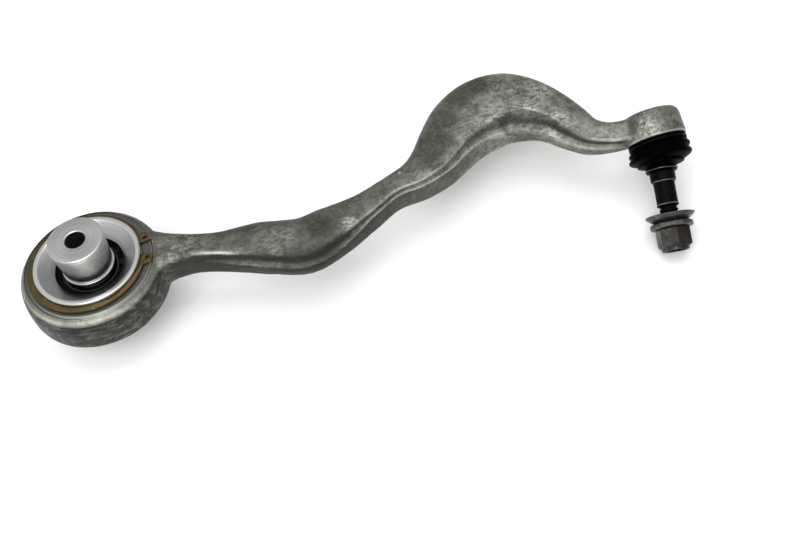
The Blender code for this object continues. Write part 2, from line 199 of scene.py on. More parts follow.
def softened(outline, radius, sharp=28):
    """Round a closed outline's corners above sharp degrees and smooth the rest of it."""
    points = [Vector(p) for p in outline]
    count = len(points)
    on_axis = outline[0][0] == 0 or outline[-1][0] == 0

    def is_end(i):
        return on_axis and i in (0, count - 1)

    def turning(i):
        a = points[i] - points[i - 1]
        b = points[(i + 1) % count] - points[i]
        return math.degrees(a.angle(b, 0))

    corner = [is_end(i) or turning(i) > sharp for i in range(count)]
    fine = []
    for i in range(count):
        here, ahead = points[i], points[(i + 1) % count]
        if on_axis and i == count - 1:
            fine.append((here, True))
            break
        fine.append((here, corner[i]))
        if corner[i] and corner[(i + 1) % count]:
            continue
        length = (ahead - here).length
        start = ahead - here if corner[i] else (ahead - points[i - 1]).normalized() * length
        after = points[(i + 2) % count]
        stop = ahead - here if corner[(i + 1) % count] else (after - here).normalized() * length
        for k in range(1, CORNER_STEPS):
            t = k / CORNER_STEPS
            spot = here * (2 * t**3 - 3 * t**2 + 1) + start * (t**3 - 2 * t**2 + t)
            spot += ahead * (3 * t**2 - 2 * t**3) + stop * (t**3 - t**2)
            fine.append((spot, False))
    result = []
    total = len(fine)
    for i, (here, sharp_corner) in enumerate(fine):
        at_end = on_axis and i in (0, total - 1)
        if not sharp_corner or at_end:
            result.append((max(here.x, 0.0), here.y))
            continue
        back, ahead = fine[i - 1][0] - here, fine[(i + 1) % total][0] - here
        cut = min(radius, 0.4 * back.length, 0.4 * ahead.length)
        first, last = here + back.normalized() * cut, here + ahead.normalized() * cut
        for k in range(CORNER_STEPS + 1):
            t = k / CORNER_STEPS
            spot = first * (1 - t) ** 2 + here * 2 * t * (1 - t) + last * t**2
            result.append((spot.x, spot.y))
    return result


def bridge_rings(mesh_data, rings, closed):
    """Faces between neighbouring rings; a ring may be a single point."""
    pairs = list(zip(rings, rings[1:]))
    if closed:
        pairs.append((rings[-1], rings[0]))
    for first, second in pairs:
        count = max(len(first), len(second))
        if count == 1:
            continue
        for i in range(count):
            j = (i + 1) % count
            corners = [first[i % len(first)], first[j % len(first)]]
            corners += [second[j % len(second)], second[i % len(second)]]
            mesh_data.faces.new(list(dict.fromkeys(corners)))


def turned(outline, sides=FINE, shape=None):
    """Body turned about Z; shape(radius, height, angle) may give another radius."""
    mesh_data = bmesh.new()
    rings = []
    for radius, height in outline:
        ring = []
        for k in range(1 if radius == 0 else sides):
            angle = 2 * math.pi * k / sides
            r = shape(radius, height, angle) if shape else radius
            ring.append(mesh_data.verts.new((r * math.cos(angle), r * math.sin(angle), height)))
        rings.append(ring)
    bridge_rings(mesh_data, rings, closed=outline[0][0] > 0)
    return mesh_data


def extruded(outline, low, high):
    """Upright body with the same outline from low to high."""
    mesh_data = bmesh.new()
    lower = [mesh_data.verts.new((x, y, low)) for x, y in outline]
    upper = [mesh_data.verts.new((x, y, high)) for x, y in outline]
    bridge_rings(mesh_data, [lower, upper], closed=False)
    mesh_data.faces.new(lower)
    mesh_data.faces.new(upper)
    return mesh_data


def as_object(name, mesh_data, place=BUSH):
    """Object from a bmesh in millimetres, in the given frame."""
    bmesh.ops.scale(mesh_data, vec=(MM, MM, MM), verts=mesh_data.verts)
    bmesh.ops.recalc_face_normals(mesh_data, faces=mesh_data.faces)
    mesh = bpy.data.meshes.new(name)
    mesh_data.to_mesh(mesh)
    mesh_data.free()
    thing = bpy.data.objects.new(name, mesh)
    bpy.context.scene.collection.objects.link(thing)
    thing.matrix_world = place
    return thing


def bake_modifiers(thing):
    """Replace the object's mesh by its evaluated one."""
    bpy.context.view_layer.update()
    seen = thing.evaluated_get(bpy.context.evaluated_depsgraph_get())
    mesh = bpy.data.meshes.new_from_object(seen)
    thing.modifiers.clear()
    thing.data = mesh


def combine(thing, other, operation):
    """Boolean of two objects; the second one is used up."""
    modifier = thing.modifiers.new(operation, "BOOLEAN")
    modifier.operation = operation
    modifier.solver = "MANIFOLD"
    modifier.object = other
    bake_modifiers(thing)
    bpy.data.objects.remove(other, do_unlink=True)


def bevel(thing, width, segments=2, angle=30):
    modifier = thing.modifiers.new("edges", "BEVEL")
    modifier.width = width * MM
    modifier.segments = segments
    modifier.limit_method = "ANGLE"
    modifier.angle_limit = math.radians(angle)
    bake_modifiers(thing)


def finish_piece(thing, material, body, replaces, sharp=38):
    """Give a piece its material and shading, and tie it to the frame."""
    thing.data.materials.clear()
    thing.data.materials.append(material)
    thing.data.shade_smooth()
    thing.data.set_sharp_from_angle(angle=math.radians(sharp))
    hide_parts(*replaces)
    if body:
        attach(thing, body)


# --- material helpers ------------------------------------------------------------------


class Shader:
    """A material's node tree, with short calls for its nodes."""

    def __init__(self, name, colour, roughness, metallic, **constants):
        self.material = bpy.data.materials.new(name)
        self.material.use_nodes = True
        self.tree = self.material.node_tree
        self.surface = self.tree.nodes["Principled BSDF"]
        self.set("Base Color", (*colour, 1.0))
        self.set("Roughness", roughness)
        self.set("Metallic", metallic)
        for key, value in constants.items():
            self.set(key, value)
        self.place = self.tree.nodes.new("ShaderNodeTexCoord").outputs["Object"]

    def plug(self, socket, value):
        """Feed a socket from another node's output, or with a constant."""
        if isinstance(value, bpy.types.NodeSocket):
            self.tree.links.new(value, socket)
        else:
            socket.default_value = value

    def set(self, key, value):
        self.plug(self.surface.inputs[key], value)

    def node(self, kind, inputs, **settings):
        made = self.tree.nodes.new(kind)
        for key, value in settings.items():
            setattr(made, key, value)
        for key, value in inputs.items():
            self.plug(made.inputs[key], value)
        return made

    def stretched(self, scale, turn=(0, 0, 0)):
        inputs = {"Vector": self.place, "Scale": scale, "Rotation": turn}
        return self.node("ShaderNodeMapping", inputs).outputs[0]

    def noise(self, scale, detail=4.0, roughness=0.55, place=None, distortion=0.0):
        inputs = {"Vector": place or self.place, "Scale": scale, "Detail": detail}
        inputs |= {"Roughness": roughness, "Distortion": distortion}
        return self.node("ShaderNodeTexNoise", inputs).outputs["Fac"]

    def noise_along(self, value, scale, detail, roughness=0.5):
        """Noise that changes with one value only."""
        inputs = {"W": value, "Scale": scale, "Detail": detail, "Roughness": roughness}
        return self.node("ShaderNodeTexNoise", inputs, noise_dimensions="1D").outputs["Fac"]

    def ramp(self, factor, *stops):
        """Colour ramp from (position, colour or grey value) stops."""
        made = self.node("ShaderNodeValToRGB", {"Fac": factor})
        elements = made.color_ramp.elements
        while len(elements) < len(stops):
            elements.new(1.0)
        for element, (position, colour) in zip(elements, stops):
            element.position = position
            grey = isinstance(colour, (int, float))
            element.color = (colour, colour, colour, 1.0) if grey else (*colour, 1.0)
        return made.outputs["Color"]

    def mix(self, factor, first, second):
        """Colour or grey between first and second; the sockets are those of a colour mix."""
        made = self.tree.nodes.new("ShaderNodeMix")
        made.data_type = "RGBA"
        for index, value in ((0, factor), (6, first), (7, second)):
            self.plug(made.inputs[index], (*value, 1.0) if isinstance(value, tuple) else value)
        return made.outputs[2]

    def math(self, operation, first, second=0.0, clamp=False):
        inputs = {0: first, 1: second}
        return self.node("ShaderNodeMath", inputs, operation=operation, use_clamp=clamp).outputs[0]

    def scaled(self, factor, low, high):
        """Map 0..1 to low..high."""
        inputs = {"Value": factor, "To Min": low, "To Max": high}
        return self.node("ShaderNodeMapRange", inputs).outputs[0]

    def bump(self, height, distance, strength, after=None):
        """Bumps of the given depth in millimetres, on top of the bumps in after."""
        inputs = {"Height": height, "Distance": distance * MM, "Strength": strength}
        if after:
            inputs["Normal"] = after
        return self.node("ShaderNodeBump", inputs).outputs[0]

    def attribute(self, name):
        return self.node("ShaderNodeAttribute", {}, attribute_name=name).outputs["Fac"]

    def axis(self, vector, letter):
        return self.node("ShaderNodeSeparateXYZ", {"Vector": vector}).outputs[letter]

    def vector(self, operation, first, second=(0, 0, 0)):
        inputs = {0: first, 1: second}
        return self.node("ShaderNodeVectorMath", inputs, operation=operation)

    def radius(self):
        """Distance from the object's Z axis, in millimetres."""
        flat = self.vector("MULTIPLY", self.place, (1, 1, 0)).outputs[0]
        length = self.vector("LENGTH", flat).outputs["Value"]
        return self.math("MULTIPLY", length, 1 / MM)

    def spot(self, x, y, radius, spread):
        """Ragged patch around (x, y), 1 in its middle."""
        flat = self.vector("MULTIPLY", self.place, (1, 1, 0)).outputs[0]
        away = self.vector("DISTANCE", flat, (x * MM, y * MM, 0)).outputs["Value"]
        near = self.math("SUBTRACT", 1.0, self.math("DIVIDE", away, radius * MM))
        ragged = self.math("ADD", near, self.scaled(spread, -0.75, 0.6))
        return self.ramp(ragged, (0.0, 0.0), (0.55, 1.0))

    def side_of_beam(self):
        """1 on the arm's upright sides."""
        normal = self.node("ShaderNodeNewGeometry", {}).outputs["True Normal"]
        return self.ramp(self.math("ABSOLUTE", self.axis(normal, "Z")), (0.4, 1.0), (0.88, 0.0))

    def near_eye(self):
        """1 from the eye to the middle of the arm, fading to 0 at the goose-neck."""
        inputs = {"Value": self.axis(self.place, "X"), "From Min": 250 * MM, "From Max": 160 * MM}
        return self.node("ShaderNodeMapRange", inputs).outputs[0]

    def height(self):
        """Height on the object's Z axis, in millimetres."""
        return self.math("MULTIPLY", self.axis(self.place, "Z"), 1 / MM)


# Stained and rubbed places on the arm's upper face: x, y, radius
STAINED = (
    (226, 29, 18),
    (219, 18, 12),
    (235, 44, 12),
    (247, 58, 12),
    (261, 65, 14),
    (142, -14, 13),
    (62, 6, 9),
    (60, -8, 8),
)
RUBBED = (
    (268, 38, 14),
    (289, 37, 15),
    (301, 51, 14),
    (304, 24, 12),
    (112, -26, 6),
    (160, -16, 6),
    (351, -6, 12),
)


def blasted_grey(s, mottle, fine, streak):
    """Mottled grey of the forging, with light and dark grains and streaks."""
    greys = ((0.32, (0.05, 0.05, 0.038)), (0.5, (0.15, 0.148, 0.119)), (0.68, (0.37, 0.365, 0.31)))
    colour = s.ramp(mottle, *greys)
    colour = s.mix(s.ramp(fine, (0.47, 0.0), (0.62, 0.75)), colour, (0.34, 0.336, 0.286))
    colour = s.mix(s.ramp(fine, (0.36, 0.75), (0.48, 0.0)), colour, (0.055, 0.054, 0.04))
    colour = s.mix(s.ramp(streak, (0.45, 0.0), (0.68, 0.5)), colour, (0.34, 0.337, 0.288))
    return s.mix(s.ramp(streak, (0.3, 0.5), (0.44, 0.0)), colour, (0.05, 0.05, 0.042))


def stains(s, mottle, fine):
    """How much oil and dirt darken the surface, most of all in the stained places."""
    stain = s.ramp(s.noise(34, 6, 0.7, distortion=1.2), (0.5, 0.0), (0.66, 1.0))
    stain = s.math("MULTIPLY", stain, 0.75)
    for x, y, radius in STAINED:
        stain = s.math("ADD", stain, s.spot(x, y, radius, mottle), clamp=True)
    return s.math("MULTIPLY", stain, s.ramp(fine, (0.42, 0.96), (0.68, 0.66)))


def scuffs(s, cloud):
    """How much the surface is scuffed bright, most of all in the rubbed places."""
    rubbed_and_highlight = s.ramp(s.noise(28, 3, 0.5), (0.52, 0.0), (0.68, 0.4))
    for x, y, radius in RUBBED:
        rubbed_and_highlight = s.math("ADD", rubbed_and_highlight, s.spot(x, y, radius, cloud), clamp=True)
    marks = s.noise(260, 9, 0.75, s.stretched((1.0, 1.9, 1.9)), 0.5)
    return s.math("MULTIPLY", s.ramp(marks, (0.455, 0.0), (0.62, 0.95)), rubbed_and_highlight)


def wear_and_highlights(s, scuffed, mottle, streak, relief, shade):
    """How bright the metal shows: scuffs and raised spots, kept off the shaded sides, then the painted
    highlights on the upper edge and on the eye's lip.
    """
    raised = s.ramp(relief, (0.508, 0.0), (0.53, 1.0))
    worn = s.math("MULTIPLY", raised, s.ramp(mottle, (0.3, 0.3), (0.6, 1.0)))
    light = s.math("ADD", scuffed, s.math("MULTIPLY", worn, 0.8), clamp=True)
    light = s.math("MULTIPLY", light, s.math("SUBTRACT", 1.0, shade))
    # painted highlight along the upper edge of the -Y side
    edge = s.math("MULTIPLY", s.attribute("edge_highlight"), s.ramp(streak, (0.38, 0.2), (0.6, 0.9)))
    # painted highlight on the rounding around the eye
    lip_highlight = s.math("MULTIPLY", s.attribute("lip_highlight"), s.ramp(mottle, (0.32, 0.3), (0.56, 1.0)))
    return s.math("ADD", light, s.math("ADD", edge, lip_highlight), clamp=True)


def side_scores(s, side):
    """Long scratches on the upright sides, most of all round the eye."""
    scratch = s.noise(260, 7, 0.75, s.stretched((0.3, 1.0, 1.5), (0.0, 0.7, 0.0)), 0.3)
    scored = s.math("MULTIPLY", s.ramp(scratch, (0.48, 0.0), (0.68, 0.55)), side)
    round_eye = s.ramp(s.math("DIVIDE", s.radius(), 100.0), (0.46, 1.0), (0.54, 0.12))
    return s.math("MULTIPLY", scored, round_eye)


def machined_grey(s, turning):
    """Bright turned metal, darker on the eye's upper face."""
    bright = s.ramp(turning, (0.35, (0.26, 0.26, 0.25)), (0.65, (0.44, 0.44, 0.425)))
    upper_face = s.ramp(s.math("SUBTRACT", s.height(), EYE_TOP - 0.6), (0.0, 0.0), (0.5, 1.0))
    return s.mix(upper_face, bright, (0.11, 0.11, 0.098))


def forged_aluminium():
    """Forged, blasted and handled aluminium, bright where it is machined or rubbed."""
    s = Shader("forged_aluminium", (0.16, 0.16, 0.14), 0.5, 0.55)
    cloud = s.noise(20, 4, 0.6)
    mottle = s.noise(95, 7, 0.7, distortion=0.7)
    fine = s.noise(360, 6, 0.75, distortion=0.4)
    streak = s.noise(110, 6, 0.7, s.stretched((0.5, 2.4, 1.0)))
    near = s.near_eye()
    side = s.side_of_beam()
    # painted shade: the upright sides are darkened by their normal, most of all near the eye
    shade = s.math("MULTIPLY", side, s.scaled(near, 0.3, 0.93))
    relief = s.node("ShaderNodeNewGeometry", {}).outputs["Pointiness"]

    # From the blasted grey to what lies on top of it, with painted shade on the upright sides and in the
    # hollows and painted highlights on the upper edge and the eye's lip
    colour = blasted_grey(s, mottle, fine, streak)
    colour = s.mix(s.math("MULTIPLY", near, 0.66), colour, (0.05, 0.051, 0.045))
    stain = stains(s, mottle, fine)
    colour = s.mix(stain, colour, (0.02, 0.018, 0.009))
    broad_dark = s.scaled(s.ramp(cloud, (0.38, 1.0), (0.55, 0.0)), 0.0, 0.45)
    colour = s.mix(broad_dark, colour, (0.073, 0.075, 0.062))
    # painted shade on the upright sides
    colour = s.mix(shade, colour, (0.01, 0.011, 0.008))
    colour = s.mix(side_scores(s, side), colour, (0.24, 0.24, 0.215))
    light = wear_and_highlights(s, scuffs(s, cloud), mottle, streak, relief, shade)
    # scuffs and worn raised spots, with the painted highlights on the edge and the eye's lip
    colour = s.mix(s.math("MULTIPLY", light, 0.82), colour, (0.62, 0.615, 0.545))
    # painted shade: darker in hollows, where pointiness is low, and in the groove
    hollow = s.math("MAXIMUM", s.ramp(relief, (0.47, 1.0), (0.495, 0.0)), s.attribute("groove"))
    colour = s.mix(s.math("MULTIPLY", hollow, 0.88), colour, (0.014, 0.016, 0.014))
    speck = s.ramp(s.noise(330, 2, 0.5), (0.25, 1.0), (0.31, 0.0))
    colour = s.mix(s.math("MULTIPLY", speck, 0.8), colour, (0.02, 0.02, 0.017))

    machined = s.attribute("machined")
    turning = s.noise_along(s.math("MULTIPLY", s.radius(), 9.0), 1.0, 2.0)
    s.set("Base Color", s.mix(machined, colour, machined_grey(s, turning)))
    rough = s.math("SUBTRACT", s.scaled(mottle, 0.62, 0.42), s.math("MULTIPLY", light, 0.14))
    s.set("Roughness", s.mix(machined, rough, s.scaled(turning, 0.3, 0.42)))
    metal = s.math("SUBTRACT", 0.6, s.math("MULTIPLY", stain, 0.3))
    s.set("Metallic", s.mix(machined, metal, (0.9, 0.9, 0.9)))
    grain = s.bump(s.noise(900, 3, 0.6), 0.06, 0.8)
    s.set("Normal", s.bump(s.noise(240, 6, 0.7), 0.25, 0.8, grain))
    return s.material


def turned_steel(name, colour, roughness, line_depth=0.006, anisotropy=0.5, rim=None):
    """Turned metal with fine concentric tool marks, polished above the height rim (mm)."""
    s = Shader(name, colour, roughness, 1.0, Anisotropic=anisotropy)
    tangent = s.node("ShaderNodeTangent", {}, direction_type="RADIAL", axis="Z")
    s.set("Tangent", tangent.outputs[0])
    along = s.math("ADD", s.radius(), s.height())
    fine = s.noise_along(along, 7.0, 3.0, 0.7)
    broad = s.noise_along(along, 0.9, 1.0)
    smear = s.noise(60, 4, 0.6)
    dark = tuple(0.74 * c for c in colour)
    tone = s.mix(s.ramp(fine, (0.35, 0.0), (0.65, 1.0)), dark, colour)
    tone = s.mix(s.ramp(s.noise_along(along, 0.6, 2.0), (0.5, 0.0), (0.6, 0.8)), tone, dark)
    smeared = s.scaled(s.ramp(smear, (0.45, 0.0), (0.7, 1.0)), 0.0, 0.3)
    tone = s.mix(smeared, tone, tuple(0.8 * c for c in colour))
    if rim:
        polished = s.ramp(s.math("SUBTRACT", s.height(), rim), (0.0, 0.0), (0.3, 1.0))
        tone = s.mix(polished, tone, (0.62, 0.62, 0.61))
    s.set("Base Color", tone)
    rough = s.math("ADD", s.scaled(fine, roughness - 0.05, roughness + 0.05), s.scaled(smear, -0.03, 0.05))
    s.set("Roughness", rough)
    lines = s.math("ADD", fine, s.math("MULTIPLY", broad, 0.8))
    s.set("Normal", s.bump(lines, line_depth, 0.6))
    return s.material


def yellow_zinc():
    s = Shader("yellow_zinc", (0.1, 0.085, 0.035), 0.36, 0.8)
    olive, gold, amber = (0.06, 0.056, 0.022), (0.088, 0.068, 0.026), (0.105, 0.062, 0.028)
    colour = s.ramp(s.noise(45, 3, 0.5), (0.35, olive), (0.5, gold), (0.66, amber))
    worn = s.ramp(s.noise(320, 5, 0.7), (0.6, 0.0), (0.72, 1.0))
    s.set("Base Color", s.mix(s.math("MULTIPLY", worn, 0.5), colour, (0.26, 0.24, 0.17)))
    s.set("Roughness", s.scaled(s.noise(210, 4), 0.3, 0.5))
    s.set("Normal", s.bump(s.noise(700, 3), 0.02, 0.5))
    return s.material


def boot_rubber():
    s = Shader("boot_rubber", (0.002, 0.002, 0.002), 0.35, 0.0, **{"Specular IOR Level": 0.01})
    dust = s.ramp(s.noise(140, 5, 0.65), (0.5, 0.0), (0.75, 1.0))
    clean, dusty = (0.0002, 0.0002, 0.0002), (0.0015, 0.0015, 0.0014)
    s.set("Base Color", s.mix(s.math("MULTIPLY", dust, 0.3), clean, dusty))
    s.set("Roughness", s.scaled(s.noise(240, 4), 0.22, 0.45))
    s.set("Normal", s.bump(s.noise(1500, 3), 0.02, 0.5))
    return s.material


def black_phosphate():
    s = Shader("black_phosphate", (0.006, 0.006, 0.006), 0.4, 0.0, **{"Specular IOR Level": 0.03})
    tone = s.noise(300, 5, 0.65)
    colour = s.ramp(tone, (0.35, (0.0008, 0.0008, 0.0008)), (0.7, (0.004, 0.0039, 0.0036)))
    for edge in BRIGHT_EDGES:
        away = s.math("ABSOLUTE", s.math("SUBTRACT", s.height(), edge))
        line = s.ramp(away, (0.1, 1.0), (0.4, 0.0))
        # painted highlight: a thin bright line round the stud at each height, broken up by the tone
        line_highlight = s.math("MULTIPLY", line, s.ramp(tone, (0.35, 0.3), (0.6, 1.0)))
        colour = s.mix(s.math("MULTIPLY", line_highlight, 0.7), colour, (0.3, 0.3, 0.29))
    s.set("Base Color", colour)
    s.set("Roughness", s.scaled(tone, 0.28, 0.48))
    s.set("Normal", s.bump(s.noise(1400, 3), 0.015, 0.5))
    return s.material


# Darkest, middle and lightest grey of the dark steel
DARK_STEEL = ((0.02, 0.0195, 0.018), (0.055, 0.053, 0.05), (0.15, 0.147, 0.14))


def dark_steel(name, rust, shade=1.0, rusty_side=None):
    """Dark coated steel; rust is the browned share, rusty_side the angle of a browned facet."""
    s = Shader(name, (0.12, 0.115, 0.108), 0.45, 0.8, **{"Specular IOR Level": 0.15})
    tone = s.noise(170, 6, 0.65)
    low, middle, high = (tuple(shade * c for c in grey) for grey in DARK_STEEL)
    colour = s.ramp(tone, (0.3, low), (0.55, middle), (0.75, high))
    spread = s.ramp(s.noise(75, 5, 0.65), (0.62 - rust, 0.0), (0.74 - rust, 1.0))
    if rusty_side is not None:
        facing = (math.cos(rusty_side), math.sin(rusty_side), 0)
        reach = s.vector("DOT_PRODUCT", s.place, facing).outputs["Value"]
        past = s.math("SUBTRACT", s.math("MULTIPLY", reach, 1 / MM), NUT_ACROSS / 2 - 0.5)
        facet = s.ramp(past, (0.0, 0.0), (0.3, 1.0))
        spread = s.math("ADD", spread, s.math("MULTIPLY", facet, 0.9), clamp=True)
    s.set("Base Color", s.mix(s.math("MULTIPLY", spread, 0.85), colour, (0.013, 0.0075, 0.006)))
    s.set("Metallic", s.scaled(spread, 0.85, 0.15))
    s.set("Roughness", s.scaled(spread, 0.4, 0.8))
    s.set("Normal", s.bump(s.noise(520, 5, 0.7), 0.04, 0.6))
    return s.material


def seat_plastic():
    s = Shader("seat_plastic", (0.72, 0.7, 0.62), 0.42, 0.0)
    tone = s.noise(60, 3)
    s.set("Base Color", s.ramp(tone, (0.3, (0.66, 0.64, 0.55)), (0.7, (0.76, 0.74, 0.67))))
    s.set("Normal", s.bump(s.noise(900, 2), 0.01, 0.4))
    return s.material


def liner_fabric():
    """Woven liner: crossed threads around the ball."""
    s = Shader("liner_fabric", (0.03, 0.026, 0.02), 0.85, 0.0)
    weave = s.node("ShaderNodeTexChecker", {"Vector": s.place, "Scale": 2200.0}).outputs["Fac"]
    s.set("Base Color", s.mix(weave, (0.022, 0.018, 0.012), (0.045, 0.038, 0.028)))
    s.set("Normal", s.bump(weave, 0.04, 0.6))
    return s.material


# --- arm -------------------------------------------------------------------------------


def beam_sections():
    """Catmull-Rom rings through the beam's sections."""
    rows = [BEAM[0], *BEAM, BEAM[-1]]
    sections = []
    for k in range(1, len(rows) - 2):
        p = np.array(rows[k - 1 : k + 3], float)
        for step in range(BEAM_STEPS):
            t = step / BEAM_STEPS
            weights = (-t + 2 * t**2 - t**3, 2 - 5 * t**2 + 3 * t**3, t + 4 * t**2 - 3 * t**3, t**3 - t**2)
            sections.append(0.5 * np.array(weights) @ p)
    sections.append(np.array(BEAM[-1], float))
    return sections


def along_beam(x, rows):
    """Values of a table at x, straight between its rows."""
    places = [row[0] for row in rows]
    return [float(np.interp(x, places, column)) for column in list(zip(*rows))[1:]]


def beam_section(x, width, thickness):
    """Outline of the beam at x: a rounded rectangle with the relief of the -Y side cut in."""
    groove, half, depth, rib, _ = along_beam(x, SIDE_RELIEF)
    line, line_half, line_depth = LOWER_LINE
    crest_x, crest_length, crest_height = CREST
    slope = BEAM_CORNER - 1
    points = []
    for k in range(BEAM_SIDES):
        angle = 2 * math.pi * (k + 0.5) / BEAM_SIDES
        c, s = math.cos(angle), math.sin(angle)
        flat = math.copysign(abs(c) ** (2 / BEAM_CORNER), c)
        share = math.copysign(abs(s) ** (2 / BEAM_CORNER), s)
        point = Vector((flat * width / 2, share * thickness / 2))
        outward = Vector((math.copysign(abs(flat) ** slope / width, flat), 0))
        outward.y = math.copysign(abs(share) ** slope / thickness, share)
        if flat < 0:
            cut = depth * math.exp(-(((share - groove) / half) ** 4))
            cut -= rib * math.exp(-(((share - groove + 1.9 * half) / (0.6 * half)) ** 2))
            cut += line_depth * rib * math.exp(-(((share - line) / line_half) ** 2))
            point -= outward.normalized() * cut
        else:
            point.x += crest_height * flat * math.exp(-(((x - crest_x) / crest_length) ** 2))
        points.append((point.x, point.y))
    return points


def section_turns(sections):
    """Direction of the beam at each section, evened out so that its tight bends stay smooth."""
    turns = []
    last = len(sections) - 1
    for k in range(last + 1):
        before, after = sections[max(k - 1, 0)], sections[min(k + 1, last)]
        turns.append(math.atan2(after[1] - before[1], after[0] - before[0]))
    even = []
    for k in range(last + 1):
        reach = min(BEAM_EVEN, k, last - k)
        even.append(sum(turns[k - reach : k + reach + 1]) / (2 * reach + 1))
    return even


def beam_body():
    """The beam, with each section square to the beam's direction and rolled about it."""
    mesh_data = bmesh.new()
    sections = beam_sections()
    rings = []
    for section, angle in zip(sections, section_turns(sections)):
        x, y, width, thickness, roll = (float(value) for value in section)
        along = Vector((math.cos(angle), math.sin(angle), 0))
        turn = Matrix.Rotation(math.radians(roll), 3, along)
        across = turn @ Vector((-along.y, along.x, 0))
        up = turn @ Vector((0, 0, 1))
        centre = Vector((x, y, 0))
        outline = beam_section(x, width, thickness)
        rings.append([mesh_data.verts.new(centre + a * across + b * up) for a, b in outline])
    bridge_rings(mesh_data, rings, closed=False)
    mesh_data.faces.new(rings[0])
    mesh_data.faces.new(rings[-1])
    return mesh_data


def eye_body():
    """Eye before machining: its top stands a little proud of the finished face."""
    outline = [(0, EYE_BOTTOM), (40.5, EYE_BOTTOM), (43.5, -13.1), (44.8, -11.2), (EYE_R, -8)]
    outline += [(EYE_R, 2), (44.1, 7.0), (42.6, 10.2), (41.0, 11.9), (39.0, 13.6), (0, 13.6)]
    return turned(softened(outline, 1.0), 256)


def housing_body():
    """Cup of the ball joint, before its socket is cut."""
    outline = [(0, 14.5), (12.5, 14.4), (15.8, 13.7), (17.4, 12.0), (18.2, 9.0), (18.9, -4.0)]
    outline += [(15.4, -4.0), (15.4, -8.0), (15.0, -9.0), (0, -9.0)]
    return turned(softened(outline, 0.7))


def smooth_where(thing, weight, rounds):
    """Even out the mesh where weight(point in mm) is above 0."""
    group = thing.vertex_groups.new(name="soft")
    for vertex in thing.data.vertices:
        amount = weight(vertex.co / MM)
        if amount > 0:
            group.add([vertex.index], min(amount, 1.0), "REPLACE")
    modifier = thing.modifiers.new("soften", "SMOOTH")
    modifier.factor = 0.5
    modifier.iterations = rounds
    modifier.vertex_group = "soft"
    bake_modifiers(thing)
    thing.vertex_groups.clear()


def joint_blend(point):
    """Weight of the fillets where the beam meets the eye and the housing."""
    ring = math.hypot(point.x, point.y)
    eye = 1 - abs(ring - 46.5) / 9 if point.x > 26 else 0
    local = HOUSING.inverted() @ (point * MM) / MM
    around = math.hypot(local.x, local.y)
    housing = 1 - abs(around - 19.5) / 4 if local.x < -8 and local.z > -3 else 0
    return max(eye, housing, 0) * 1.6


def roughen(thing):
    """Push the surface in and out by a few hundredths of a millimetre, as forging leaves it."""
    count = len(thing.data.vertices)
    spots, normals = np.empty(count * 3), np.empty(count * 3)
    thing.data.vertices.foreach_get("co", spots)
    thing.data.vertices.foreach_get("normal", normals)
    spots, normals = spots.reshape(-1, 3), normals.reshape(-1, 3)
    heights = np.empty((count, 1))
    for k, spot in enumerate(spots / MM):
        point = Vector(spot.tolist())
        wave = noise.fractal(point / 14.0, 0.8, 2.0, 3) * 0.16
        pits = noise.fractal(point / 2.6, 0.7, 2.1, 3) * 0.05
        heights[k] = wave + pits
    thing.data.vertices.foreach_set("co", (spots + normals * heights * MM).ravel())
    thing.data.update()


def arm_skin():
    """One skin over beam, eye and housing, evened out where they meet, then machined."""
    skin = as_object("arm_forging_skin", beam_body())
    combine(skin, as_object("eye", eye_body()), "UNION")
    combine(skin, as_object("housing", housing_body(), HOUSING), "UNION")
    remesh = skin.modifiers.new("skin", "REMESH")
    remesh.mode = "VOXEL"
    remesh.voxel_size = SKIN_VOXEL * MM
    bake_modifiers(skin)
    smooth_where(skin, lambda _: 1.0, 2)
    smooth_where(skin, joint_blend, 60)
    roughen(skin)
    top = [(0, EYE_TOP), (38.2, EYE_TOP), (39.9, 11.4), (40.3, 11.4), (40.3, CLEAR), (0, CLEAR)]
    combine(skin, as_object("spotface", turned(top, 256)), "DIFFERENCE")
    bottom = [(0, EYE_BOTTOM), (41.5, EYE_BOTTOM), (41.5, -CLEAR), (0, -CLEAR)]
    combine(skin, as_object("underface", turned(bottom, 256)), "DIFFERENCE")
    bore = [(0, -CLEAR), (EYE_BORE_R, -CLEAR), (EYE_BORE_R, CLEAR), (0, CLEAR)]
    combine(skin, as_object("bore", turned(bore, 256)), "DIFFERENCE")
    cavity = [(0, 12.0), (6.0, 11.7), (10.6, 10.0), (13.0, 7.0)]
    cavity += [(13.0, -7.7), (11.8, -7.7), (12.2, -11), (0, -11)]
    combine(skin, as_object("cavity", turned(cavity, 128), HOUSING), "DIFFERENCE")
    mark_relief(skin)
    mark_machined(skin)
    finish_piece(skin, forged_aluminium(), "arm", ["arm_forging"], sharp=32)


def mark(thing, name, values):
    """Attribute with one value for each vertex, which the material reads by its name."""
    thing.data.attributes.new(name, "FLOAT", "POINT").data.foreach_set("value", values)


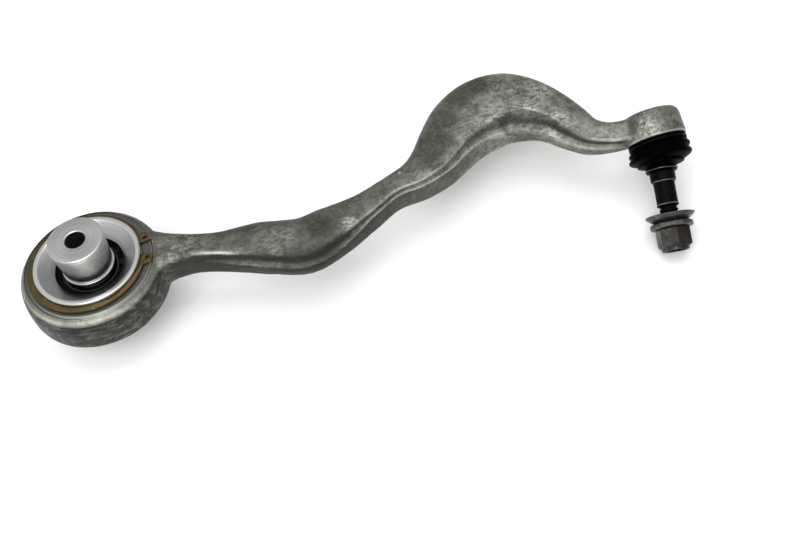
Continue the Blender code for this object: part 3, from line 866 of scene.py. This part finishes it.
def mark_relief(skin):
    """Attributes that follow the -Y side: painted shade in its groove, and a painted highlight on the edge
    above the groove.
    """
    sections = np.array(beam_sections())
    angles = np.array(section_turns(sections))
    spots = np.empty(len(skin.data.vertices) * 3)
    skin.data.vertices.foreach_get("co", spots)
    spots = spots.reshape(-1, 3) / MM
    nearest = np.empty(len(spots), int)
    block = 20000  # points compared at a time
    for start in range(0, len(spots), block):
        part = spots[start : start + block, :2]
        away = ((part[:, None] - sections[:, :2]) ** 2).sum(axis=2)
        nearest[start : start + block] = away.argmin(axis=1)
    x, y, width, thickness, roll = sections[nearest].T
    angle, lean = angles[nearest], np.radians(roll)
    offset = (spots[:, 1] - y) * np.cos(angle) - (spots[:, 0] - x) * np.sin(angle)
    across = offset * np.cos(lean) + spots[:, 2] * np.sin(lean)
    share = (spots[:, 2] * np.cos(lean) - offset * np.sin(lean)) / (thickness / 2)
    inset = width / 2 + across
    rows = np.array(SIDE_RELIEF).T
    groove, half, depth, _, shine = (np.interp(x, rows[0], row) for row in rows[1:])
    outside_eye = np.hypot(spots[:, 0], spots[:, 1]) > EYE_R + 0.2
    side = outside_eye & (across < -width * 0.22)
    in_groove = np.exp(-(((share - groove) / (1.05 * half)) ** 4))
    # painted shade: darker in the groove, the more so the deeper it is, on the -Y side only
    dark = in_groove * np.clip(depth / GROOVE_DARKEST, 0, 1) ** 1.3 * side
    # painted highlight: a bright band along the upper edge of the -Y side, as strong as shine
    rubbed_and_highlight = np.exp(-(((inset - EDGE_INSET) / EDGE_WIDTH) ** 2)) * (share > 0.8) * side * shine
    mark(skin, "groove", dark)
    mark(skin, "edge_highlight", rubbed_and_highlight)


def mark_machined(skin):
    """Attributes: 1 on the machined faces, and a painted highlight on the rounding around the eye."""
    machined, lip_highlight = [], []
    back = HOUSING.inverted()
    for vertex in skin.data.vertices:
        x, y, z = vertex.co / MM
        ring = math.hypot(x, y)
        turned_face = ring < EYE_MACHINED_R and (z > EYE_TOP - 2 or z < EYE_BOTTOM + 0.1)
        bored = ring < EYE_BORE_R + 0.3
        local = back @ vertex.co / MM
        socket = math.hypot(local.x, local.y) < 13.2 and -9.5 < local.z < 12.2
        machined.append(1.0 if turned_face or bored or socket else 0.0)
        # painted highlight: brightest on the side of the rounding that faces EYE_LIP_ANGLE
        facing = 0.35 + 0.65 * math.cos(math.atan2(y, x) - EYE_LIP_ANGLE)
        outer = max(0.0, 1 - abs(z - EYE_LIP_Z) / 2.2) if 40.3 < ring < EYE_R + 0.5 else 0.0
        lip_highlight.append(outer * max(facing, 0.0))
    mark(skin, "machined", machined)
    mark(skin, "lip_highlight", lip_highlight)


# --- bush ------------------------------------------------------------------------------


def knurled_sleeve(steel):
    """Sleeve with a helical knurl on the stretch that is pressed in the eye."""
    low, high, rows = -13.7, 6.5, 34
    teeth, twist, depth, run_out = 84, 1.9, 0.32, 0.8
    outline = softened(outline_of("bush_sleeve", BUSH), 0.25)
    outer = max(r for r, z in outline if -10 < z < 12)
    on_outer = [i for i, (r, z) in enumerate(outline) if abs(r - outer) < 0.05]
    start = min(on_outer, key=lambda i: outline[i][1])
    band = [(outer, low + (high - low) * k / rows) for k in range(rows + 1)]
    if outline[(start + 1) % len(outline)][1] > outline[start][1]:
        outline = outline[: start + 1] + band + outline[start + 1 :]
    else:
        outline = outline[:start] + band[::-1] + outline[start:]

    def knurl(radius, height, angle):
        if abs(radius - outer) > 0.01 or not low < height < high:
            return radius
        ends = min(1.0, (height - low) / run_out, (high - height) / run_out)
        phase = teeth * angle + height * twist
        return radius - depth * ends * (0.5 - 0.5 * math.cos(phase))

    sleeve = as_object("bush_sleeve_turned", turned(outline, 5 * teeth, knurl))
    finish_piece(sleeve, steel, "arm", ["bush_sleeve"])


def circlip_outline(inner_r, outer_r, thin_r, gap, lug, lug_r):
    """Open retaining ring with its gap at +X, widest opposite it, with two rounded lugs."""
    steps, lug_steps = 110, 8
    outside = lug_r > outer_r
    plain_r = inner_r if outside else outer_r
    wide_r = outer_r if outside else inner_r
    angles = [gap + (2 * math.pi - 2 * gap) * k / steps for k in range(steps + 1)]
    plain = [(plain_r * math.cos(a), plain_r * math.sin(a)) for a in angles]
    shaped = []
    for k in range(steps + 1):
        a = lug + (2 * math.pi - 2 * lug) * k / steps
        r = thin_r + (wide_r - thin_r) * (1 - math.cos(a)) / 2
        shaped.append((r * math.cos(a), r * math.sin(a)))
    first_lug = []
    start = thin_r + (lug_r - thin_r) * 0.82
    for k in range(lug_steps + 1):
        t = k / lug_steps
        a = gap + (lug * 0.86 - gap) * t
        r = start + (lug_r - start) * math.sin(math.pi * min(1.0, 0.12 + 0.88 * t)) ** 0.5
        first_lug.append((r * math.cos(a), r * math.sin(a)))
    last_lug = [(x, -y) for x, y in reversed(first_lug)]
    return plain + list(reversed(first_lug + shaped + last_lug))


def circlip(node, outline, hole_r, hole_angle, hole_centre_r, material):
    """Retaining ring as thick as its CAD node, with a plier hole in each lug."""
    low, high = (corner.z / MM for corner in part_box(node))
    ring = as_object(f"{node}_ring", extruded(outline, low, high))
    for side in (-1, 1):
        a = side * math.radians(hole_angle)
        x, y = hole_centre_r * math.cos(a), hole_centre_r * math.sin(a)
        turns = [2 * math.pi * k / 32 for k in range(32)]
        circle = [(x + hole_r * math.cos(b), y + hole_r * math.sin(b)) for b in turns]
        combine(ring, as_object("hole", extruded(circle, low - 1, high + 1)), "DIFFERENCE")
    bevel(ring, 0.18)
    finish_piece(ring, material, "arm", [node])


def fine_copy(name, node, place, material, body, radius):
    """A turned CAD node made again with many sides and its corners rounded to radius."""
    piece = as_object(name, turned(softened(outline_of(node, place), radius)), place)
    finish_piece(piece, material, body, [node])


def bush():
    plated = turned_steel("plated_steel", (0.6, 0.605, 0.595), 0.27)
    bearing = turned_steel("bearing_steel", (0.022, 0.022, 0.023), 0.35, 0.002, 0.2)
    knurled_sleeve(turned_steel("sleeve_steel", (0.66, 0.665, 0.65), 0.24, rim=17.3))
    outer = circlip_outline(31.9, 37.3, 35.3, math.radians(8), math.radians(20), 40.2)
    circlip("outer_circlip", outer, 1.5, 12, 37.2, yellow_zinc())
    inner = circlip_outline(18.4, 22.2, 19.2, math.radians(9), math.radians(24), 17.9)
    circlip("race_circlip", inner, 0.9, 15, 19.6, black_phosphate())
    for name, node, material, slot, body, radius in (
        ("bearing_race_ring", "bearing_race", bearing, "bearing_steel", "arm", 0.5),
        ("bearing_liner_shell", "bearing_liner", liner_fabric(), "liner_fabric", "bush_liner", 0.1),
        ("bearing_ball_turned", "bearing_ball", bearing, "bearing_steel", "bush_ball", 0.4),
        ("upper_spacer_turned", "upper_spacer", plated, "bright_steel", "bush_spacers", 0.45),
        ("lower_spacer_turned", "lower_spacer", plated, "bright_steel", "bush_spacers", 0.45),
    ):
        fine_copy(name, node, BUSH, material, body, radius)


# --- ball joint ------------------------------------------------------------------------

# Boot: radius, height and how far the point follows the stud instead of the housing
BOOT_OUTSIDE = (
    (18.3, -4.4, 0.0),
    (18.3, -5.0, 0.0),
    (17.3, -5.4, 0.0),
    (17.3, -7.2, 0.0),
    (18.5, -7.6, 0.0),
    (17.9, -8.7, 0.05),
    (19.2, -9.8, 0.1),
    (19.5, -11.2, 0.2),
    (18.5, -12.9, 0.3),
    (19.8, -14.4, 0.4),
    (19.6, -16.2, 0.5),
    (16.6, -17.9, 0.65),
    (14.9, -18.8, 0.75),
    (14.6, -19.9, 0.8),
    (11.6, -20.8, 0.9),
    (10.2, -21.6, 1.0),
    (9.2, -22.4, 1.0),
    (9.2, -24.0, 1.0),
    (9.7, -24.5, 1.0),
)
BOOT_INSIDE = (
    (6.95, -24.5, 1.0),
    (6.95, -22.4, 1.0),
    (9.4, -20.2, 1.0),
    (12.9, -19.0, 0.8),
    (13.4, -17.8, 0.75),
    (17.4, -15.8, 0.5),
    (18.2, -14.6, 0.4),
    (17.0, -12.9, 0.3),
    (17.9, -11.2, 0.2),
    (17.6, -10.2, 0.1),
    (15.8, -9.0, 0.0),
    (15.8, -4.4, 0.0),
)


def boot(rubber):
    """Bellows whose top lip sits on the housing and whose lower lip sits on the leaning stud."""
    rows = BOOT_OUTSIDE + BOOT_INSIDE
    outline = softened([(radius, height) for radius, height, _ in rows], 0.25, sharp=75)
    heights = [height for _, height, _ in BOOT_OUTSIDE][::-1]
    follows = [follow for _, _, follow in BOOT_OUTSIDE][::-1]
    lean = HOUSING.inverted() @ STUD
    mesh_data = turned(outline, 144)
    for vertex in mesh_data.verts:
        follow = float(np.interp(vertex.co.z, heights, follows))
        vertex.co = vertex.co.lerp(lean.to_3x3() @ vertex.co, follow)
    piece = as_object("dust_boot_rubber", mesh_data, HOUSING)
    finish_piece(piece, rubber, None, ["dust_boot"], sharp=60)
    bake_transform(piece)


def stud(phosphate):
    """Ball stud with its M12 x 1.5 thread cut as a real helix."""
    outline = softened(outline_of("ball_stud", STUD), 0.35)
    if outline[0][1] < outline[-1][1]:
        outline = outline[::-1]
    pitch, crest, root, shank_end = 1.5, 5.85, 5.05, -48
    on_thread = [i for i, (r, z) in enumerate(outline) if abs(r - crest) < 0.06 and z < shank_end]
    first, last = on_thread[0], on_thread[-1]
    top, end = outline[first][1], outline[last][1]
    rows = int((top - end) / pitch * 10)
    rings = [(crest, top + (end - top) * k / rows) for k in range(1, rows)]
    outline = outline[: first + 1] + rings + outline[last:]

    def thread(radius, height, angle):
        if abs(radius - crest) > 0.07 or not end < height < top:
            return radius
        phase = (height / pitch - angle / (2 * math.pi)) % 1.0
        flank = min(1.0, max(0.0, abs(phase - 0.5) * 2.5 - 0.12))
        ends = min(1.0, (top - height) / 1.2, (height - end) / 0.8)
        return root + (crest - root) * (1 - (1 - flank) * ends)

    piece = as_object("ball_stud_turned", turned(outline, 72, thread), STUD)
    finish_piece(piece, phosphate, "stud", ["ball_stud"])


def nut(metal):
    """Hexagon nut with chamfered corners and a round end collar."""
    top, end, bore_r = -61.2, -75.2, 6.2
    corner_r = NUT_ACROSS / math.sqrt(3)
    angles = [math.radians(60 * k + NUT_TURN) for k in range(6)]
    corners = [(corner_r * math.cos(angle), corner_r * math.sin(angle)) for angle in angles]
    piece = as_object("flange_nut_turned", extruded(corners, end, top), STUD)
    bevel(piece, 0.35, 3)
    envelope = [(0, -76.0), (7.6, -76.0), (8.5, -75.0), (8.6, -73.4), (9.4, -73.0), (11.4, -71.6)]
    envelope += [(11.3, -62.0), (10.2, -60.0), (0, -60.0)]
    combine(piece, as_object("envelope", turned(envelope, 128), STUD), "INTERSECT")
    bore = [(0, -80), (bore_r + 1.0, -80), (bore_r + 1.0, end - 0.2)]
    bore += [(bore_r, end + 0.9), (bore_r, -55), (0, -55)]
    combine(piece, as_object("nut_bore", turned(bore, 96), STUD), "DIFFERENCE")
    bevel(piece, 0.12, 2, 40)
    finish_piece(piece, metal, "nut", ["flange_nut"], sharp=8)


def ball_joint():
    phosphate = black_phosphate()
    ring_steel = turned_steel("ring_steel", (0.07, 0.07, 0.068), 0.3, 0.003, 0.2)
    washer = dark_steel("washer_steel", 0.02, 1.5)
    fine_copy("ball_seat_shell", "ball_seat", HOUSING, seat_plastic(), "joint_seat", 0.3)
    fine_copy("seat_lock_ring_turned", "seat_lock_ring", HOUSING, ring_steel, "arm", 0.25)
    boot(boot_rubber())
    fine_copy("boot_upper_ring_wire", "boot_upper_ring", HOUSING, phosphate, "arm", 0.4)
    fine_copy("boot_lower_ring_wire", "boot_lower_ring", STUD, ring_steel, "boot_foot", 0.35)
    fine_copy("boot_slip_ring_turned", "boot_slip_ring", STUD, phosphate, "boot_foot", 0.35)
    stud(phosphate)
    fine_copy("cone_washer_turned", "cone_washer", STUD, washer, "nut_carrier", 0.3)
    fine_copy("nut_washer_turned", "nut_washer", STUD, washer, "nut_carrier", 0.4)
    nut(dark_steel("nut_steel", 0.1, 0.85, math.radians(RUSTY_FACET)))


# --- stage -----------------------------------------------------------------------------


def camera():
    """Camera turned about Z, raised, and rolled about its own line of sight."""
    data = bpy.data.cameras.new("camera")
    data.lens = CAMERA_LENS
    data.sensor_width = 36
    data.sensor_fit = "HORIZONTAL"
    data.clip_start = 0.01
    thing = bpy.data.objects.new("camera", data)
    bpy.context.scene.collection.objects.link(thing)
    turn = Matrix.Rotation(math.radians(-CAMERA_AZIMUTH), 4, "Z")
    tilt = Matrix.Rotation(math.radians(90 - CAMERA_ELEVATION), 4, "X")
    roll = Matrix.Rotation(math.radians(-CAMERA_ROLL), 4, "Z")
    thing.matrix_world = Matrix.Translation(CAMERA_PLACE) @ turn @ tilt @ roll
    bpy.context.scene.camera = thing


def area_light(name, place, target, size, power):
    """White softbox at place, turned to target (metres, watts)."""
    data = bpy.data.lights.new(name, "AREA")
    data.shape = "RECTANGLE"
    data.size, data.size_y = size
    data.energy = power
    thing = bpy.data.objects.new(name, data)
    bpy.context.scene.collection.objects.link(thing)
    look = (Vector(target) - Vector(place)).to_track_quat("-Z", "Y")
    thing.matrix_world = Matrix.Translation(place) @ look.to_matrix().to_4x4()


def stage():
    """Sky that brightens in one direction, pale floor and two softboxes."""
    world = bpy.data.worlds.new("studio")
    bpy.context.scene.world = world
    world.use_nodes = True
    tree = world.node_tree
    direction = tree.nodes.new("ShaderNodeTexCoord").outputs["Generated"]
    lean = tree.nodes.new("ShaderNodeVectorMath")
    lean.operation = "DOT_PRODUCT"
    lean.inputs[1].default_value = SKY_LEAN
    sky = tree.nodes.new("ShaderNodeValToRGB")
    tree.links.new(direction, lean.inputs[0])
    tree.links.new(lean.outputs["Value"], sky.inputs["Fac"])
    for element, shade in zip(sky.color_ramp.elements, SKY_SHADES):
        element.color = (shade, shade, shade, 1)
    tree.links.new(sky.outputs["Color"], tree.nodes["Background"].inputs["Color"])
    mesh_data = bmesh.new()
    bmesh.ops.create_grid(mesh_data, x_segments=1, y_segments=1, size=FLOOR_REACH)
    mesh = bpy.data.meshes.new("floor")
    mesh_data.to_mesh(mesh)
    mesh_data.free()
    floor = bpy.data.objects.new("floor", mesh)
    floor.location.z = CAD_BOX[0][2] - FLOOR_GAP
    bpy.context.scene.collection.objects.link(floor)
    pale = Shader("floor_paper", (0.93, 0.93, 0.93), 0.8, 0.0)
    tone = pale.noise(3, 2)
    pale.set("Base Color", pale.ramp(tone, (0.3, 0.92), (0.7, 0.94)))
    mesh.materials.append(pale.material)
    area_light("key", (-0.1, -0.75, 1.05), (0.15, 0, 0), (0.8, 0.6), 8)
    area_light("overhead", (0.2, 0.05, 1.5), (0.2, 0, 0), (1.2, 1.0), 8)
    bpy.context.scene.view_settings.view_transform = "Standard"


camera()
stage()
arm_skin()
bush()
ball_joint()
